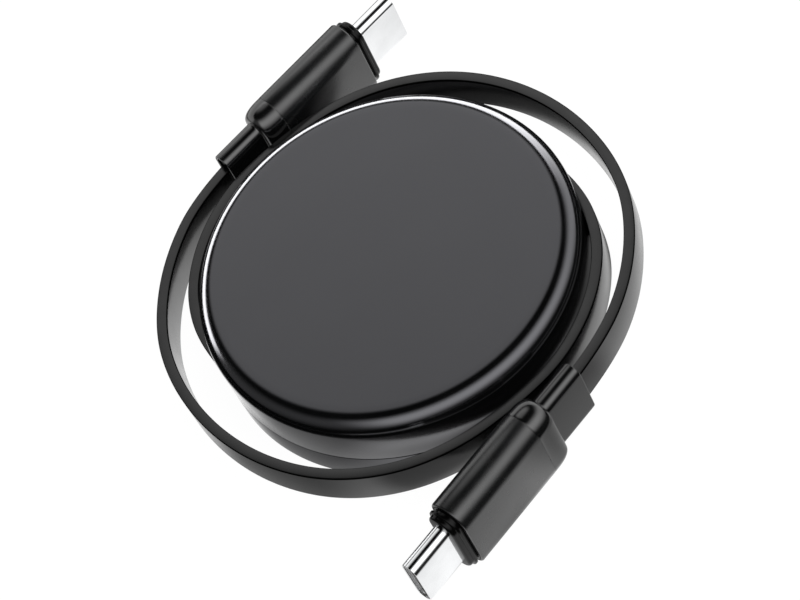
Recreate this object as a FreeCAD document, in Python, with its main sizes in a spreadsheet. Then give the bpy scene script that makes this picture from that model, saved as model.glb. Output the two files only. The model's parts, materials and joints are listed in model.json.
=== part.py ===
import FreeCAD, Part
import math
import os
import Sketcher
from FreeCAD import Placement, Rotation, Vector

# Retractable charging cable: a round spring reel with a flat ribbon that leaves it on two sides,
# each ribbon end carrying a plug. Millimetres, +Z up, origin at the centre of the reel's underside.

doc = FreeCAD.newDocument("retractable_cable")
sheet = doc.addObject("Spreadsheet::Sheet", "sizes")

# Driving dimensions
SIZES = {
    # Reel housing, two moulded shells that meet in a half-lap
    "housing_radius": 25.0,
    "housing_height": 12.4,
    "seam_height": 4.65,
    "cover_wall": 1.6,
    "cover_plate": 1.2,
    "top_edge_radius": 2.5,
    "bottom_edge_radius": 0.8,
    "inner_edge_radius": 0.8,
    "seam_bevel": 0.12,
    "lap_height": 1.0,
    "lap_gap": 0.05,
    "lap_skirt": 0.8,
    "window_width": 15.2,
    "window_gap": 0.25,
    # Flat ribbon
    "ribbon_width": 5.2,
    "ribbon_thickness": 1.4,
    # Spool and its bearing on the centre post
    "flange_gap": 1.4,
    "flange_thickness": 0.9,
    "ribbon_side_gap": 0.2,
    "drum_inner_radius": 9.2,
    "drum_wall": 1.1,
    "coil_margin": 1.8,
    "coil_gap": 0.1,
    "arbor_radius": 3.0,
    "journal_radius": 2.0,
    "running_gap": 0.08,
    "axial_gap": 0.25,
    "thrust_gap": 0.1,
    "thrust_inset": 0.1,
    "boss_wall": 1.5,
    # Mainspring and the disc that keeps it in the drum
    "spring_cover_thickness": 0.6,
    "spring_cover_gap": 0.05,
    "spring_thickness": 0.3,
    "spring_turns": 8.0,
    "spring_side_gap": 0.3,
    "spring_end_gap": 0.25,
    "spring_slit": 0.9,
    "spring_hook": 0.6,
    # Ratchet ring on the spool and the pawl that locks it
    "ratchet_radius": 8.0,
    "ratchet_inner_radius": 4.6,
    "notch_depth": 1.1,
    "notch_width": 2.2,
    "notch_count": 8.0,
    "pawl_pivot_reach": 12.7,
    "pawl_hub_radius": 1.9,
    "pawl_pin_radius": 0.9,
    "pawl_nose_width": 1.4,
    "pawl_nose_gap": 0.25,
    "pawl_release_angle": 10.6,
    # Plug: sleeve, strain relief boot and the moulded core inside
    "sleeve_height": 12.4,
    "sleeve_thickness": 5.6,
    "sleeve_wall": 0.8,
    "sleeve_length": 14.2,
    "sleeve_rim": 0.3,
    "cap_length": 3.4,
    "cap_round": 2.05,
    "neck_height": 9.8,
    "neck_thickness": 2.8,
    "neck_length": 6.2,
    "tail_rim": 0.45,
    "tail_recess": 1.2,
    "socket_depth": 2.8,
    "socket_gap": 0.05,
    "nose_gap": 0.45,
    "nose_ring": 0.35,
    "ring_inset": 0.4,
    "nose_length": 0.7,
    "nose_inset": 0.75,
    "nose_round": 0.4,
    # Connector
    "shell_height": 8.25,
    "shell_thickness": 2.4,
    "shell_wall": 0.2,
    "shell_reach": 6.2,
    "shell_root": 2.5,
    "mouth_height": 6.7,
    "mouth_gap": 0.84,
    "mouth_depth": 5.0,
    "block_recess": 0.35,
    "contact_pitch": 0.5,
    "contact_count": 12.0,
    "contact_width": 0.24,
    "contact_thickness": 0.12,
    "contact_recess": 0.9,
    "contact_tail": 1.7,
    "contact_bump": 0.1,
    "bump_length": 0.8,
    "latch_width": 0.3,
    "latch_thickness": 0.36,
    "latch_recess": 1.6,
    "card_thickness": 0.6,
    "card_height": 7.2,
    "card_length": 5.2,
}

# The ribbon's route on one side of the reel, as (angle in degrees, radius in mm) about the reel's
# axis. It leaves the coil, passes the window and wraps the housing clockwise. The other ribbon is
# the same route turned by half a turn, and only their last two points differ.
ROUTE = [(214, 21.25), (201, 22.45), (188, 23.6), (175, 24.9), (163, 26.05), (150, 26.8), (134, 27.1),
         (117, 27.25), (100, 27.05), (83, 28.0), (66, 29.0), (49, 29.7), (32, 30.05), (15, 30.35),
         (-2, 30.75), (-18, 31.05), (-37, 30.85)]
ROUTE_END = {"b": [(-55.8, 30.55), (-72.03, 30.36)], "a": [(-56.64, 30.77), (-72.85, 30.03)]}
HALF_TURN = {"b": 0, "a": 180}
BEND_SHARE = 0.45


class Size:
    """A length with its value and the sheet formula that drives it."""

    def __init__(self, number, formula=None):
        self.number = float(number)
        self.formula = formula or repr(self.number)

    def join(self, other, sign, number):
        return Size(number, "(%s %s %s)" % (self.formula, sign, other.formula))

    def __add__(self, other):
        other = as_size(other)
        return self.join(other, "+", self.number + other.number)

    def __sub__(self, other):
        other = as_size(other)
        return self.join(other, "-", self.number - other.number)

    def __mul__(self, other):
        other = as_size(other)
        return self.join(other, "*", self.number * other.number)

    def __truediv__(self, other):
        other = as_size(other)
        return self.join(other, "/", self.number / other.number)

    def __neg__(self):
        return Size(-self.number, "(-1 * %s)" % self.formula)


def as_size(length):
    return length if isinstance(length, Size) else Size(length)


class Sizes:
    """Every cell of the sheet by its name."""

    def __init__(self, table):
        for row, (name, number) in enumerate(table.items(), 1):
            sheet.set("A%d" % row, name)
            sheet.set("B%d" % row, repr(number))
            sheet.setAlias("B%d" % row, name)
            setattr(self, name, Size(number, "sizes." + name))


s = Sizes(SIZES)
doc.recompute()

# Levels and radii that several pieces share
mid = s.housing_height / 2
ceiling = s.housing_height - s.cover_plate
wall_inner = s.housing_radius - s.cover_wall
lap_radius = s.housing_radius - s.lap_skirt
window_bottom = mid - s.ribbon_width / 2 - s.window_gap
window_height = s.ribbon_width + s.window_gap * 2
flange_radius = wall_inner - s.flange_gap
upper_flange = mid + s.ribbon_width / 2 + s.ribbon_side_gap
lower_flange = mid - s.ribbon_width / 2 - s.ribbon_side_gap
spool_top = upper_flange + s.flange_thickness
spool_bottom = lower_flange - s.flange_thickness
drum_radius = s.drum_inner_radius + s.drum_wall
coil_radius = flange_radius - s.coil_margin
bearing_radius = s.journal_radius + s.running_gap
arbor_top = upper_flange - s.axial_gap
spring_bottom = spool_bottom + s.spring_cover_thickness + s.spring_side_gap
spring_top = upper_flange - s.spring_side_gap
pawl_bottom = spool_top + s.axial_gap
pawl_top = ceiling - s.axial_gap
ring_front = s.nose_gap + s.nose_ring
nose_front = ring_front + s.nose_length
shell_tip = nose_front + s.shell_reach
plug_tail = s.sleeve_length + s.cap_length + s.neck_length


# Sketches and features

def make_body(name):
    return doc.addObject("PartDesign::Body", name)


def make_sketch(body, plane, name, offset=None):
    """A sketch on one of the body's own planes, moved along the plane's normal by offset."""
    sketch = body.newObject("Sketcher::SketchObject", name)
    support = [item for item in body.Origin.OriginFeatures if item.Role == plane][0]
    sketch.AttachmentSupport = (support, "")
    sketch.MapMode = "FlatFace"
    if offset is not None:
        sketch.AttachmentOffset = Placement(Vector(0, 0, offset.number), Rotation())
        sketch.setExpression("AttachmentOffset.Base.z", offset.formula)
    return sketch


def hold(sketch, kind, geometry, point, size):
    """Fix one coordinate of a sketch point at a driven distance from the sketch's origin."""
    if abs(size.number) < 1e-9:
        axis = -2 if kind == "DistanceX" else -1
        sketch.addConstraint(Sketcher.Constraint("PointOnObject", geometry, point, axis))
    elif size.number > 0:
        index = sketch.addConstraint(Sketcher.Constraint(kind, -1, 1, geometry, point, size.number))
        sketch.setExpression("Constraints[%d]" % index, size.formula)
    else:
        index = sketch.addConstraint(Sketcher.Constraint(kind, geometry, point, -1, 1, -size.number))
        sketch.setExpression("Constraints[%d]" % index, (-size).formula)


def draw_polygon(sketch, corners):
    """A closed outline of straight edges, every corner driven by the sheet."""
    corners = [(as_size(x), as_size(y)) for x, y in corners]
    points = [Vector(x.number, y.number, 0) for x, y in corners]
    count = len(points)
    first = sketch.GeometryCount
    for i in range(count):
        sketch.addGeometry(Part.LineSegment(points[i], points[(i + 1) % count]), False)
    for i in range(count):
        following = first + (i + 1) % count
        sketch.addConstraint(Sketcher.Constraint("Coincident", first + i, 2, following, 1))
    for i, (x, y) in enumerate(corners):
        hold(sketch, "DistanceX", first + i, 1, x)
        hold(sketch, "DistanceY", first + i, 1, y)


def draw_circle(sketch, radius, x=0, y=0):
    x = as_size(x)
    y = as_size(y)
    circle = Part.Circle(Vector(x.number, y.number, 0), Vector(0, 0, 1), radius.number)
    geometry = sketch.addGeometry(circle, False)
    index = sketch.addConstraint(Sketcher.Constraint("Radius", geometry, radius.number))
    sketch.setExpression("Constraints[%d]" % index, radius.formula)
    hold(sketch, "DistanceX", geometry, 3, x)
    hold(sketch, "DistanceY", geometry, 3, y)


def draw_stadium(sketch, thickness, height):
    """An upright slot shape about the origin: two straight sides and two half circles."""
    radius = thickness.number / 2
    reach = height.number / 2 - radius
    top = Part.Circle(Vector(0, reach, 0), Vector(0, 0, 1), radius)
    bottom = Part.Circle(Vector(0, -reach, 0), Vector(0, 0, 1), radius)
    upper = sketch.addGeometry(Part.ArcOfCircle(top, 0, math.pi), False)
    left = sketch.addGeometry(Part.LineSegment(Vector(-radius, reach, 0), Vector(-radius, -reach, 0)), False)
    lower = sketch.addGeometry(Part.ArcOfCircle(bottom, math.pi, 2 * math.pi), False)
    right = sketch.addGeometry(Part.LineSegment(Vector(radius, -reach, 0), Vector(radius, reach, 0)), False)
    for here, there in ((upper, left), (left, lower), (lower, right), (right, upper)):
        sketch.addConstraint(Sketcher.Constraint("Tangent", here, 2, there, 1))
    index = sketch.addConstraint(Sketcher.Constraint("Radius", upper, radius))
    sketch.setExpression("Constraints[%d]" % index, (thickness / 2).formula)
    straight = (height - thickness) / 2
    for arc, centre in ((upper, straight), (lower, -straight)):
        hold(sketch, "DistanceX", arc, 3, as_size(0))
        hold(sketch, "DistanceY", arc, 3, centre)


def drive(item, prop, size):
    size = as_size(size)
    setattr(item, prop, size.number)
    item.setExpression(prop, size.formula)
    return item


def revolve(body, sketch, name):
    turn = body.newObject("PartDesign::Revolution", name)
    turn.Profile = sketch
    turn.ReferenceAxis = (sketch, ["V_Axis"])
    turn.Angle = 360
    doc.recompute()
    return turn


def pad(body, sketch, name, length):
    feature = body.newObject("PartDesign::Pad", name)
    feature.Profile = sketch
    drive(feature, "Length", length)
    doc.recompute()
    return feature


def pocket(body, sketch, name, length, upwards=False):
    """A cut against the sketch's normal, or along it when upwards is set; it has to remove material."""
    before = body.Shape.Volume
    feature = body.newObject("PartDesign::Pocket", name)
    feature.Profile = sketch
    feature.Reversed = upwards
    drive(feature, "Length", length)
    doc.recompute()
    if body.Shape.Volume > before - 1e-6:
        raise RuntimeError("pocket %s removes nothing" % name)
    return feature


def polar_copies(body, feature, name, count):
    pattern = body.newObject("PartDesign::PolarPattern", name)
    pattern.Originals = [feature]
    axis = [item for item in body.Origin.OriginFeatures if item.Role == "Z_Axis"][0]
    pattern.Axis = (axis, [""])
    pattern.Angle = 360
    pattern.Occurrences = int(round(count.number))
    pattern.setExpression("Occurrences", count.formula)
    body.Tip = pattern
    doc.recompute()
    return pattern


def edges_at(body, test):
    """Names of the tip's edges that the test accepts."""
    return ["Edge%d" % (i + 1) for i, edge in enumerate(body.Tip.Shape.Edges) if test(edge)]


def dress(body, kind, name, prop, size, test):
    """A fillet or chamfer on the edges that the test accepts."""
    base = body.Tip
    names = edges_at(body, test)
    if not names:
        raise RuntimeError("no edge for %s" % name)
    feature = body.newObject("PartDesign::" + kind, name)
    feature.Base = (base, names)
    drive(feature, prop, size)
    doc.recompute()
    return feature


def near(value, size):
    return abs(value - as_size(size).number) < 1e-4


def is_rim(edge, radius, level):
    """A full circle about Z at this radius and level."""
    curve = edge.Curve
    if not isinstance(curve, Part.Circle):
        return False
    on_axis = math.hypot(curve.Center.x, curve.Center.y) < 1e-4
    return on_axis and near(curve.Radius, radius) and near(curve.Center.z, level)


def lies_at_x(edge, level):
    box = edge.BoundBox
    return box.XLength < 1e-4 and near(box.XMin, level)


# Booleans

def cut(name, base, tool):
    result = doc.addObject("Part::Cut", name)
    result.Base = base
    result.Tool = tool
    doc.recompute()
    return result


def gather(name, items):
    result = doc.addObject("Part::Compound", name)
    result.Links = items
    doc.recompute()
    return result


def fuse(name, items):
    result = doc.addObject("Part::MultiFuse", name)
    result.Shapes = items
    doc.recompute()
    return result


def make_box(name, x, y, z):
    """A box between two driven levels on each axis."""
    block = doc.addObject("Part::Box", name)
    for side, axis, (low, high) in (("Length", "x", x), ("Width", "y", y), ("Height", "z", z)):
        low = as_size(low)
        drive(block, side, as_size(high) - low)
        setattr(block.Placement.Base, axis, low.number)
        block.setExpression("Placement.Base." + axis, low.formula)
    doc.recompute()
    return block


# Reel housing

def cut_windows(body):
    """The two openings in the side wall where the ribbon comes out."""
    sketch = make_sketch(body, "XY_Plane", body.Name + "_window", window_bottom)
    half = s.window_width / 2
    far = s.housing_radius + s.cover_wall
    draw_polygon(sketch, [(flange_radius, -half), (far, -half), (far, half), (flange_radius, half)])
    opening = pocket(body, sketch, body.Name + "_window_cut", window_height, upwards=True)
    polar_copies(body, opening, body.Name + "_windows", Size(2))


def make_top_cover():
    body = make_body("top_cover")
    boss_radius = bearing_radius + s.boss_wall
    boss_bottom = spool_top + s.axial_gap
    skirt_top = s.seam_height + s.lap_height
    profile = make_sketch(body, "XZ_Plane", "top_cover_profile")
    draw_polygon(profile, [
        (0, s.housing_height), (s.housing_radius, s.housing_height), (s.housing_radius, s.seam_height),
        (lap_radius, s.seam_height), (lap_radius, skirt_top), (wall_inner, skirt_top),
        (wall_inner, ceiling), (boss_radius, ceiling), (boss_radius, boss_bottom),
        (bearing_radius, boss_bottom), (bearing_radius, ceiling), (0, ceiling)])
    revolve(body, profile, "top_cover_shell")
    dress(body, "Fillet", "top_edge", "Radius", s.top_edge_radius,
          lambda e: is_rim(e, s.housing_radius, s.housing_height))
    dress(body, "Fillet", "top_inner_edge", "Radius", s.inner_edge_radius,
          lambda e: is_rim(e, wall_inner, ceiling))
    dress(body, "Chamfer", "top_seam_bevel", "Size", s.seam_bevel,
          lambda e: is_rim(e, s.housing_radius, s.seam_height))
    pin = make_sketch(body, "XY_Plane", "pawl_pin_outline", pawl_bottom)
    draw_circle(pin, s.pawl_pin_radius, *pawl_pivot())
    pad(body, pin, "pawl_pin", ceiling - pawl_bottom)
    cut_windows(body)
    return body


def make_bottom_cover():
    body = make_body("bottom_cover_body")
    lip_radius = lap_radius - s.lap_gap
    lip_top = s.seam_height + s.lap_height - s.lap_gap
    thrust_top = spool_bottom - s.thrust_gap
    thrust_outer = drum_radius - s.thrust_inset
    thrust_inner = s.drum_inner_radius + s.thrust_inset
    journal_top = ceiling - s.axial_gap
    profile = make_sketch(body, "XZ_Plane", "bottom_cover_profile")
    draw_polygon(profile, [
        (0, 0), (s.housing_radius, 0), (s.housing_radius, s.seam_height), (lip_radius, s.seam_height),
        (lip_radius, lip_top), (wall_inner, lip_top), (wall_inner, s.cover_plate),
        (thrust_outer, s.cover_plate), (thrust_outer, thrust_top), (thrust_inner, thrust_top),
        (thrust_inner, s.cover_plate), (s.arbor_radius, s.cover_plate), (s.arbor_radius, arbor_top),
        (s.journal_radius, arbor_top), (s.journal_radius, journal_top), (0, journal_top)])
    revolve(body, profile, "bottom_cover_shell")
    dress(body, "Fillet", "bottom_edge", "Radius", s.bottom_edge_radius,
          lambda e: is_rim(e, s.housing_radius, 0))
    dress(body, "Chamfer", "bottom_seam_bevel", "Size", s.seam_bevel,
          lambda e: is_rim(e, s.housing_radius, s.seam_height))
    cut_windows(body)
    # The slit in the arbor holds the mainspring's inner end
    slit = make_box("arbor_slit", (0, s.arbor_radius + s.spring_thickness),
                    (-(s.spring_slit / 2), s.spring_slit / 2), (spring_bottom - s.spring_side_gap, arbor_top))
    return cut("bottom_cover", body, slit)


# Spool, coil and mainspring

def make_spool():
    body = make_body("spool_body")
    ratchet_top = ceiling - s.axial_gap
    profile = make_sketch(body, "XZ_Plane", "spool_profile")
    draw_polygon(profile, [
        (bearing_radius, upper_flange), (s.drum_inner_radius, upper_flange),
        (s.drum_inner_radius, spool_bottom), (flange_radius, spool_bottom), (flange_radius, lower_flange),
        (drum_radius, lower_flange), (drum_radius, upper_flange), (flange_radius, upper_flange),
        (flange_radius, spool_top), (s.ratchet_radius, spool_top), (s.ratchet_radius, ratchet_top),
        (s.ratchet_inner_radius, ratchet_top), (s.ratchet_inner_radius, spool_top),
        (bearing_radius, spool_top)])
    revolve(body, profile, "spool_drum")
    notch = make_sketch(body, "XY_Plane", "notch_outline", spool_top)
    half = s.notch_width / 2
    root = s.ratchet_radius - s.notch_depth
    rim = s.ratchet_radius + s.notch_depth
    draw_polygon(notch, [(root, -half), (rim, -half), (rim, half), (root, half)])
    first = pocket(body, notch, "notch", ratchet_top - spool_top, upwards=True)
    polar_copies(body, first, "notches", s.notch_count)
    # The slit in the drum takes the mainspring's outer hook
    slit = make_box("drum_slit", (s.drum_inner_radius - s.spring_hook, drum_radius),
                    (-(s.spring_slit / 2), s.spring_slit / 2),
                    (spring_bottom - s.spring_side_gap, upper_flange))
    return cut("spool", body, slit)


def make_ring(name, outer, inner, bottom, top):
    """A flat ring about the reel's axis between two levels."""
    body = make_body(name)
    sketch = make_sketch(body, "XY_Plane", name + "_outline", bottom)
    draw_circle(sketch, outer)
    draw_circle(sketch, inner)
    pad(body, sketch, name + "_ring", top - bottom)
    return body


def spiral_side(start, pitch, half_turns):
    """One side of a spiral strip as half circles whose centres alternate on the X axis."""
    arcs = []
    for i in range(half_turns):
        radius = start + i * pitch / 2
        centre = Vector(-pitch / 4 if i % 2 == 0 else pitch / 4, 0, 0)
        first = math.pi * (i % 2)
        circle = Part.Circle(centre, Vector(0, 0, 1), radius)
        arcs.append(Part.ArcOfCircle(circle, first, first + math.pi).toShape())
    return arcs


def make_mainspring():
    """A spiral strip from the arbor to the drum, with a tab in each slit."""
    thickness = s.spring_thickness.number
    inner = s.arbor_radius.number + s.spring_end_gap.number
    outer = s.drum_inner_radius.number - s.spring_end_gap.number - thickness
    turns = int(round(s.spring_turns.number))
    pitch = (outer - inner) / turns
    near_side = spiral_side(inner + pitch / 4, pitch, 2 * turns)
    far_side = spiral_side(inner + pitch / 4 + thickness, pitch, 2 * turns)
    tab_end = s.arbor_radius.number - s.spring_hook.number
    inner_tab = [(inner + thickness, 0), (inner + thickness, -thickness), (tab_end, -thickness),
                 (tab_end, 0), (inner, 0)]
    hook_end = s.drum_inner_radius.number + s.spring_hook.number
    outer_tab = [(outer, 0), (outer, thickness), (hook_end, thickness), (hook_end, 0), (outer + thickness, 0)]
    tabs = []
    for chain in (inner_tab, outer_tab):
        corners = [Vector(x, y, 0) for x, y in chain]
        for here, there in zip(corners, corners[1:]):
            tabs.append(Part.makeLine(here, there))
    outline = Part.Wire(Part.__sortEdges__(near_side + far_side + tabs))
    strip = Part.Face(outline).extrude(Vector(0, 0, spring_top.number - spring_bottom.number))
    spring = doc.addObject("Part::Feature", "mainspring")
    spring.Shape = strip
    spring.Placement = Placement(Vector(0, 0, spring_bottom.number), Rotation())
    spring.setExpression("Placement.Base.z", spring_bottom.formula)
    return spring


# Locking pawl

PIVOT_ANGLE = 80.0
NOSE_ANGLE = 45.0


def pawl_pivot():
    angle = math.radians(PIVOT_ANGLE)
    return s.pawl_pivot_reach * math.cos(angle), s.pawl_pivot_reach * math.sin(angle)


def make_pawl():
    """A lever with a nose for the ratchet notches, drawn locked and stored swung clear of them.

    Its sketch lies along the radius through the nose: x outwards, y back towards the pivot.
    """
    body = make_body("lock_pawl")
    turn = math.radians(PIVOT_ANGLE - NOSE_ANGLE)
    pivot_x = s.pawl_pivot_reach * math.cos(turn)
    pivot_y = s.pawl_pivot_reach * math.sin(turn)
    half_nose = s.pawl_nose_width / 2
    tip = s.ratchet_radius - s.notch_depth + s.pawl_nose_gap
    heel = s.ratchet_radius + s.notch_depth
    shoulder = s.ratchet_radius + s.pawl_nose_gap * 2
    outline = make_sketch(body, "XY_Plane", "pawl_outline", pawl_bottom)
    draw_polygon(outline, [
        (tip, -half_nose), (heel, -half_nose), (heel + s.pawl_nose_width, half_nose),
        (pivot_x + s.pawl_hub_radius, pivot_y), (pivot_x - s.pawl_hub_radius, pivot_y),
        (shoulder, half_nose), (tip, half_nose)])
    pad(body, outline, "pawl_arm", pawl_top - pawl_bottom)
    hub = make_sketch(body, "XY_Plane", "pawl_hub_outline", pawl_bottom)
    draw_circle(hub, s.pawl_hub_radius, pivot_x, pivot_y)
    pad(body, hub, "pawl_hub", pawl_top - pawl_bottom)
    bore = make_sketch(body, "XY_Plane", "pawl_bore_outline", pawl_bottom)
    draw_circle(bore, s.pawl_pin_radius + s.running_gap, pivot_x, pivot_y)
    pocket(body, bore, "pawl_bore", pawl_top - pawl_bottom, upwards=True)
    x, y = pawl_pivot()
    pivot = Vector(x.number, y.number, 0)
    locked = Placement(Vector(), Rotation(Vector(0, 0, 1), NOSE_ANGLE))
    swing = Placement(Vector(), Rotation(Vector(0, 0, 1), s.pawl_release_angle.number), pivot)
    body.Placement = swing.multiply(locked)
    return body


# Ribbon

def route_points(side):
    points = []
    for angle, radius in ROUTE + ROUTE_END[side]:
        turned = math.radians(angle + HALF_TURN[side])
        points.append(Vector(radius * math.cos(turned), radius * math.sin(turned), 0))
    return points


def ribbon_outline(points, thickness):
    """Both long sides of a strip of this thickness along the route: runs joined by tangent arcs."""
    half = thickness / 2
    sides = {1: [], -1: []}
    ends = {}
    radii = []
    length = 0.0
    for side in sides:
        heading = (points[1] - points[0]).normalize()
        ends[side] = points[0] + Vector(-heading.y, heading.x, 0) * half * side
    for before, corner, after in zip(points, points[1:], points[2:]):
        way_in = (corner - before).normalize()
        way_out = (after - corner).normalize()
        turn = way_in.getAngle(way_out)
        left_turn = 1 if way_in.cross(way_out).z > 0 else -1
        reach = BEND_SHARE * min(before.distanceToPoint(corner), corner.distanceToPoint(after))
        radius = reach / math.tan(turn / 2)
        radii.append(radius)
        first = corner - way_in * reach
        last = corner + way_out * reach
        centre = first + Vector(-way_in.y, way_in.x, 0) * radius * left_turn
        middle = (corner - centre).normalize()
        for side, edges in sides.items():
            start = first + Vector(-way_in.y, way_in.x, 0) * half * side
            end = last + Vector(-way_out.y, way_out.x, 0) * half * side
            bulge = centre + middle * (radius - half * side * left_turn)
            edges.append(Part.makeLine(ends[side], start))
            edges.append(Part.Arc(start, bulge, end).toShape())
            ends[side] = end
    heading = (points[-1] - points[-2]).normalize()
    for side, edges in sides.items():
        last = points[-1] + Vector(-heading.y, heading.x, 0) * half * side
        edges.append(Part.makeLine(ends[side], last))
    for left, right in zip(sides[1], sides[-1]):
        length += (left.Length + right.Length) / 2
    return sides, radii, length


def make_ribbon(side):
    points = route_points(side)
    width = s.ribbon_width.number
    thickness = s.ribbon_thickness.number
    sides, radii, length = ribbon_outline(points, thickness)
    caps = []
    for end in (0, -1):
        corners = [edges[end].Vertexes[end].Point for edges in sides.values()]
        caps.append(Part.makeLine(*corners))
    outline = Part.Wire(Part.__sortEdges__(sides[1] + sides[-1] + caps))
    ribbon = doc.addObject("Part::Feature", "ribbon_" + side)
    ribbon.Shape = Part.Face(outline).extrude(Vector(0, 0, width))
    bottom = mid - s.ribbon_width / 2
    ribbon.Placement = Placement(Vector(0, 0, bottom.number), Rotation())
    ribbon.setExpression("Placement.Base.z", bottom.formula)
    expected = length * width * thickness
    print("ribbon", side, "length %.2f" % length, "bend radii", [round(r, 1) for r in radii],
          "volume / section x length %.4f" % (ribbon.Shape.Volume / expected))
    return ribbon


# Plug, built along +X with its origin at the middle of the sleeve's front edge

def stadium_bar(name, thickness, height, start, end):
    """A bar along X whose section has half-round top and bottom edges."""
    body = make_body(name)
    sketch = make_sketch(body, "YZ_Plane", name + "_section", start)
    draw_stadium(sketch, thickness, height)
    pad(body, sketch, name + "_bar", end - start)
    return body


def inset_bar(name, inset, start, end):
    """A bar whose outline runs at an even distance inside the sleeve's."""
    return stadium_bar(name, s.sleeve_thickness - inset * 2, s.sleeve_height - inset * 2, start, end)


def make_shell(plug):
    """The metal shell, returned with the solid bar of its outside."""
    envelope = stadium_bar(plug + "_shell_outer", s.shell_thickness, s.shell_height, -s.shell_root, shell_tip)
    bore = stadium_bar(plug + "_shell_bore", s.shell_thickness - s.shell_wall * 2,
                       s.shell_height - s.shell_wall * 2, -s.shell_root, shell_tip)
    return envelope, cut(plug + "_shell", envelope, bore)


def make_contacts(plug, row, side):
    """A row of spring contacts that lie along one face of the mouth and end on the card."""
    body = make_body("%s_%s_contact" % (plug, row))
    low = s.card_thickness / 2
    high = low + s.contact_thickness
    tail = -s.shell_root - s.contact_tail
    front = shell_tip - s.contact_recess
    bump_front = front - s.bump_length / 2
    bump_back = bump_front - s.bump_length
    tip = low - s.contact_bump
    sketch = make_sketch(body, "XY_Plane", "%s_%s_contact_profile" % (plug, row), -(s.contact_width / 2))
    draw_polygon(sketch, [(x, y * side) for x, y in (
        (tail, low), (bump_back, low), (bump_back + s.bump_length / 3, tip),
        (bump_front - s.bump_length / 3, tip), (bump_front, low), (front, high - s.contact_thickness / 2),
        (front, high), (tail, high))])
    pad(body, sketch, "%s_%s_contact_strip" % (plug, row), s.contact_width)
    count = int(round(s.contact_count.number))
    pitch = s.contact_pitch.number
    copies = []
    for i in range(count):
        copies.append(body.Shape.translated(Vector(0, 0, (i - (count - 1) / 2) * pitch)))
    group = doc.addObject("Part::Feature", "%s_%s_contacts" % (plug, row))
    group.Shape = Part.makeCompound(copies)
    return group


def make_latch(plug):
    """A spring fork: two arms beside the mouth and a bar across behind it."""
    half_mouth = s.mouth_height / 2
    outer = half_mouth + s.latch_width / 2
    inner = half_mouth - s.latch_width / 2
    front = shell_tip - s.latch_recess
    back = shell_tip - s.block_recess - s.mouth_depth
    rear = back - s.latch_width * 2
    body = make_body(plug + "_latch")
    sketch = make_sketch(body, "XZ_Plane", plug + "_latch_outline", -(s.latch_thickness / 2))
    draw_polygon(sketch, [
        (rear, -outer), (front, -outer), (front, -inner), (back, -inner), (back, inner),
        (front, inner), (front, outer), (rear, outer)])
    pad(body, sketch, plug + "_latch_fork", s.latch_thickness)
    return body


def make_contact_block(plug, inserts):
    """The moulded block that lines the shell, with the mouth and a channel for every insert."""
    front = shell_tip - s.block_recess
    block = stadium_bar(plug + "_block_bar", s.shell_thickness - s.shell_wall * 2,
                        s.shell_height - s.shell_wall * 2, -s.shell_root, front)
    half_gap = s.mouth_gap / 2
    half_height = s.mouth_height / 2
    mouth = make_box(plug + "_mouth", (front - s.mouth_depth, front), (-half_gap, half_gap),
                     (-half_height, half_height))
    channels = gather(plug + "_channels", inserts)
    open_block = cut(plug + "_open_block", block, mouth)
    return cut(plug + "_contact_block", open_block, channels)


def make_core(plug, core_bar, inside):
    """The core that fills the sleeve and stands proud of it as a stepped nose."""
    neck = inset_bar(plug + "_nose_neck", s.sleeve_wall, as_size(0), s.nose_gap)
    ring = inset_bar(plug + "_nose_ring", s.ring_inset, s.nose_gap, ring_front)
    front = inset_bar(plug + "_nose_front", s.nose_inset, ring_front, nose_front)
    dress(front, "Fillet", plug + "_nose_edge", "Radius", s.nose_round, lambda e: lies_at_x(e, nose_front))
    whole = fuse(plug + "_core_blank", [core_bar, neck, ring, front])
    return cut(plug + "_core", whole, gather(plug + "_core_inside", inside))


def make_sleeve(plug, core_bar):
    outer = inset_bar(plug + "_sleeve_outer", as_size(0), -s.sleeve_length, as_size(0))
    dress(outer, "Fillet", plug + "_sleeve_rim", "Radius", s.sleeve_rim, lambda e: lies_at_x(e, 0))
    return cut(plug + "_sleeve", outer, core_bar)


def make_boot(plug):
    """The strain relief: a round-shouldered cap, a slim neck and the socket for the ribbon's end."""
    cap_front = -s.sleeve_length
    cap_back = cap_front - s.cap_length
    tail = -plug_tail
    socket_mouth = tail + s.tail_recess
    cap = inset_bar(plug + "_cap", as_size(0), cap_back, cap_front)
    dress(cap, "Fillet", plug + "_shoulder", "Radius", s.cap_round, lambda e: lies_at_x(e, cap_back))
    neck = stadium_bar(plug + "_neck", s.neck_thickness, s.neck_height, tail, cap_front)
    recess = stadium_bar(plug + "_tail_recess", s.neck_thickness - s.tail_rim * 2,
                         s.neck_height - s.tail_rim * 2, tail, socket_mouth)
    half_width = s.ribbon_width / 2 + s.socket_gap
    half_thickness = s.ribbon_thickness / 2 + s.socket_gap
    socket = make_box(plug + "_socket", (socket_mouth, socket_mouth + s.socket_depth),
                      (-half_thickness, half_thickness), (-half_width, half_width))
    solid = fuse(plug + "_boot_solid", [cap, neck])
    return cut(plug + "_boot", solid, gather(plug + "_boot_hollows", [recess, socket]))


def plug_pose(side):
    """The plug sits in line with the ribbon's last run, whose end stands on the socket's floor."""
    points = route_points(side)
    heading = (points[-1] - points[-2]).normalize()
    reach = plug_tail.number - s.tail_recess.number - s.socket_depth.number
    place = points[-1] + heading * reach
    place.z = mid.number
    turn = math.degrees(math.atan2(heading.y, heading.x))
    return Placement(place, Rotation(Vector(0, 0, 1), turn))


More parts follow.
